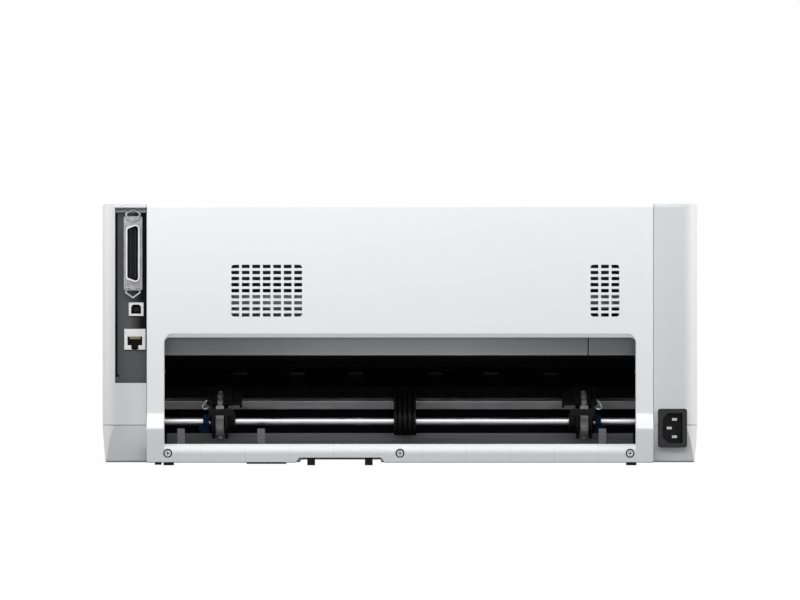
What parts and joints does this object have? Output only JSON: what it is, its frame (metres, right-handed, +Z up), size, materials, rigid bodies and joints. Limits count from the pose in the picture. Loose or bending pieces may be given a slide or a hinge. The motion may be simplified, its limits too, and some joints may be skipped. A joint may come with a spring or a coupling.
{
  "type": "dot matrix printer",
  "caption": "Flat office dot matrix printer with rear tractor feed, hinged top cover, front door, flip-up sheet guide and rear interface panel.",
  "frame": {"origin": "centre of the base, on the table under the feet", "axes": "+X across the machine to the operator's right seen from the front, +Y to the rear, +Z up"},
  "size_m": [0.48, 0.3698, 0.211],
  "materials": {
    "case_plastic": "fine-grained cool white moulding",
    "trim_plastic": "light grey moulding",
    "window": "smoked clear plastic",
    "button_plastic": "blue-grey moulding",
    "black_plastic": "black moulding",
    "tractor_plastic": "charcoal moulding",
    "belt_plastic": "light grey flexible moulding",
    "gear_plastic": "natural acetal",
    "lever_plastic": "dark blue moulding",
    "port_plastic": "white moulding",
    "rubber": "black rubber",
    "sheet_metal": "dark grey painted sheet",
    "zinc_steel": "zinc-plated sheet steel",
    "steel": "ground and polished steel",
    "contacts": "plated contacts",
    "motor_metal": "black painted steel",
    "board": "solder-masked board"
  },
  "bodies": {
    "root": {"lower_case": "case_plastic", "upper_case": "case_plastic", "rear_cover": "case_plastic", "case_screws": "steel", "feet": "rubber", "interface_plate": "sheet_metal", "parallel_connector": "steel", "data_ports": "port_plastic", "power_inlet": "black_plastic", "port_contacts": "contacts", "control_panel": "trim_plastic", "base_frame": "zinc_steel", "side_frames": "zinc_steel", "front_paper_bed": "black_plastic", "rear_paper_guide": "black_plastic", "upper_paper_guide": "sheet_metal", "carriage_shaft": "steel", "carriage_rail": "zinc_steel", "motors": "motor_metal", "timing_belt": "rubber", "guide_shaft": "steel", "circuit_boards": "board", "ribbon_cartridge": "black_plastic"},
    "cover": {"top_cover": "case_plastic", "cover_window": "window"},
    "door": {"front_door": "case_plastic"},
    "guide": {"sheet_guide": "case_plastic"},
    "edge_left": {"edge_guide_left": "trim_plastic"},
    "edge_right": {"edge_guide_right": "trim_plastic"},
    "power_key": {"power_button": "button_plastic"},
    "key_1": {"panel_button_1": "button_plastic"},
    "key_2": {"panel_button_2": "button_plastic"},
    "key_3": {"panel_button_3": "button_plastic"},
    "bail_upper": {"bail_clip_upper": "steel"},
    "bail_lower": {"bail_clip_lower": "steel"},
    "platen": {"platen_roller": "rubber", "platen_shaft": "steel", "platen_gear": "gear_plastic"},
    "front_gear": {"transfer_gear_front": "gear_plastic"},
    "rear_gear": {"transfer_gear_rear": "gear_plastic"},
    "feed": {"feed_roller_shaft": "steel", "feed_rollers": "rubber"},
    "pinion": {"motor_pinion": "gear_plastic"},
    "drive": {"tractor_drive_shaft": "steel"},
    "carriage": {"carriage": "black_plastic", "print_head": "motor_metal"},
    "ribbon_wheel": {"ribbon_knob": "black_plastic"},
    "pulley_drive": {"drive_pulley": "gear_plastic"},
    "pulley_idler": {"idler_pulley": "gear_plastic"},
    "tractor_left": {"tractor_frame_left": "tractor_plastic", "tractor_belt_left": "belt_plastic"},
    "tractor_right": {"tractor_frame_right": "tractor_plastic", "tractor_belt_right": "belt_plastic"},
    "flap_left": {"tractor_flap_left": "black_plastic"},
    "flap_right": {"tractor_flap_right": "black_plastic"},
    "lever_left": {"tractor_lever_left": "lever_plastic"},
    "lever_right": {"tractor_lever_right": "lever_plastic"},
    "sprocket_left": {"tractor_sprocket_left": "gear_plastic"},
    "sprocket_right": {"tractor_sprocket_right": "gear_plastic"},
    "support": {"paper_support": "black_plastic"}
  },
  "joints": [
    {"name": "cover_hinge", "type": "hinge", "parent": "root", "child": "cover", "pos_m": [0, 0.059, 0.204], "axis": [-1, 0, 0], "range_deg": [0, 78]},
    {"name": "door_hinge", "type": "hinge", "parent": "root", "child": "door", "pos_m": [0, -0.1791, 0.041], "axis": [1, 0, 0], "range_deg": [0, 80]},
    {"name": "guide_hinge", "type": "hinge", "parent": "root", "child": "guide", "pos_m": [0, 0.1666, 0.206], "axis": [-1, 0, 0], "range_deg": [0, 92]},
    {"name": "edge_left_slide", "type": "slide", "parent": "guide", "child": "edge_left", "axis": [1, 0, 0], "range_m": [-0.06, 0.055]},
    {"name": "edge_right_slide", "type": "slide", "parent": "guide", "child": "edge_right", "axis": [-1, 0, 0], "range_m": [-0.06, 0.055]},
    {"name": "power_press", "type": "slide", "parent": "root", "child": "power_key", "axis": [0, 0.8256, -0.5642], "range_m": [0, 0.0008], "stiffness_N_per_m": 600, "springref_m": -0.0004},
    {"name": "key_1_press", "type": "slide", "parent": "root", "child": "key_1", "axis": [0, 0.8256, -0.5642], "range_m": [0, 0.0008], "stiffness_N_per_m": 600, "springref_m": -0.0004},
    {"name": "key_2_press", "type": "slide", "parent": "root", "child": "key_2", "axis": [0, 0.8256, -0.5642], "range_m": [0, 0.0008], "stiffness_N_per_m": 600, "springref_m": -0.0004},
    {"name": "key_3_press", "type": "slide", "parent": "root", "child": "key_3", "axis": [0, 0.8256, -0.5642], "range_m": [0, 0.0008], "stiffness_N_per_m": 600, "springref_m": -0.0004},
    {"name": "bail_upper_hinge", "type": "hinge", "parent": "root", "child": "bail_upper", "pos_m": [0.2153, 0.1635, 0.1982], "axis": [-1, 0, 0], "range_deg": [0, 95]},
    {"name": "bail_lower_hinge", "type": "hinge", "parent": "root", "child": "bail_lower", "pos_m": [0.2153, 0.1635, 0.1436], "axis": [1, 0, 0], "range_deg": [0, 95]},
    {"name": "platen_spin", "type": "hinge", "parent": "root", "child": "platen", "pos_m": [0, -0.02, 0.081], "axis": [1, 0, 0], "continuous": true},
    {"name": "front_gear_spin", "type": "hinge", "parent": "root", "child": "front_gear", "pos_m": [0.198, 0.02427, 0.06245], "axis": [1, 0, 0], "continuous": true},
    {"name": "feed_spin", "type": "hinge", "parent": "root", "child": "feed", "pos_m": [0, 0.062, 0.067], "axis": [1, 0, 0], "continuous": true},
    {"name": "rear_gear_spin", "type": "hinge", "parent": "root", "child": "rear_gear", "pos_m": [0.198, 0.084, 0.04968], "axis": [1, 0, 0], "continuous": true},
    {"name": "pinion_spin", "type": "hinge", "parent": "root", "child": "pinion", "pos_m": [0.198, -0.00048, 0.03771], "axis": [1, 0, 0], "continuous": true},
    {"name": "drive_spin", "type": "hinge", "parent": "root", "child": "drive", "pos_m": [0, 0.112, 0.0494], "axis": [1, 0, 0], "continuous": true},
    {"name": "carriage_slide", "type": "slide", "parent": "root", "child": "carriage", "axis": [1, 0, 0], "range_m": [-0.135, 0.135]},
    {"name": "ribbon_spin", "type": "hinge", "parent": "root", "child": "ribbon_wheel", "pos_m": [-0.12, 0.05, 0.151], "axis": [0, 0, 1], "continuous": true},
    {"name": "drive_pulley_spin", "type": "hinge", "parent": "root", "child": "pulley_drive", "pos_m": [-0.165, 0.043, 0.1402], "axis": [0, 0, 1], "range_deg": [-970, 970]},
    {"name": "idler_pulley_spin", "type": "hinge", "parent": "root", "child": "pulley_idler", "pos_m": [0.165, 0.043, 0.1402], "axis": [0, 0, 1], "range_deg": [-970, 970]},
    {"name": "tractor_left_slide", "type": "slide", "parent": "root", "child": "tractor_left", "axis": [1, 0, 0], "range_m": [-0.075, 0.02]},
    {"name": "tractor_right_slide", "type": "slide", "parent": "root", "child": "tractor_right", "axis": [-1, 0, 0], "range_m": [-0.075, 0.016]},
    {"name": "flap_left_hinge", "type": "hinge", "parent": "tractor_left", "child": "flap_left", "pos_m": [0.15405, 0.15466, 0.04766], "axis": [0, 0.9367, -0.35], "range_deg": [0, 75]},
    {"name": "lever_left_hinge", "type": "hinge", "parent": "tractor_left", "child": "lever_left", "pos_m": [0.1454, 0.15, 0.0352], "axis": [-1, 0, 0], "range_deg": [0, 35]},
    {"name": "sprocket_left_spin", "type": "hinge", "parent": "tractor_left", "child": "sprocket_left", "pos_m": [0.1454, 0.112, 0.0494], "axis": [1, 0, 0], "continuous": true},
    {"name": "flap_right_hinge", "type": "hinge", "parent": "tractor_right", "child": "flap_right", "pos_m": [-0.15735, 0.15466, 0.04766], "axis": [0, -0.9367, 0.35], "range_deg": [0, 75]},
    {"name": "lever_right_hinge", "type": "hinge", "parent": "tractor_right", "child": "lever_right", "pos_m": [-0.1487, 0.15, 0.0352], "axis": [-1, 0, 0], "range_deg": [0, 35]},
    {"name": "sprocket_right_spin", "type": "hinge", "parent": "tractor_right", "child": "sprocket_right", "pos_m": [-0.1487, 0.112, 0.0494], "axis": [1, 0, 0], "continuous": true},
    {"name": "support_slide", "type": "slide", "parent": "root", "child": "support", "axis": [1, 0, 0], "range_m": [-0.03, 0.03]}
  ],
  "couplings": [
    {"joint": "front_gear_spin", "follows": "platen_spin", "ratio": -0.71429},
    {"joint": "feed_spin", "follows": "platen_spin", "ratio": 2},
    {"joint": "rear_gear_spin", "follows": "platen_spin", "ratio": -1.1111},
    {"joint": "pinion_spin", "follows": "platen_spin", "ratio": 2.8571},
    {"joint": "drive_spin", "follows": "platen_spin", "ratio": 2},
    {"joint": "sprocket_left_spin", "follows": "platen_spin", "ratio": 2},
    {"joint": "sprocket_right_spin", "follows": "platen_spin", "ratio": 2},
    {"joint": "drive_pulley_spin", "follows": "carriage_slide", "rad_per_m": 125},
    {"joint": "idler_pulley_spin", "follows": "carriage_slide", "rad_per_m": 125}
  ]
}
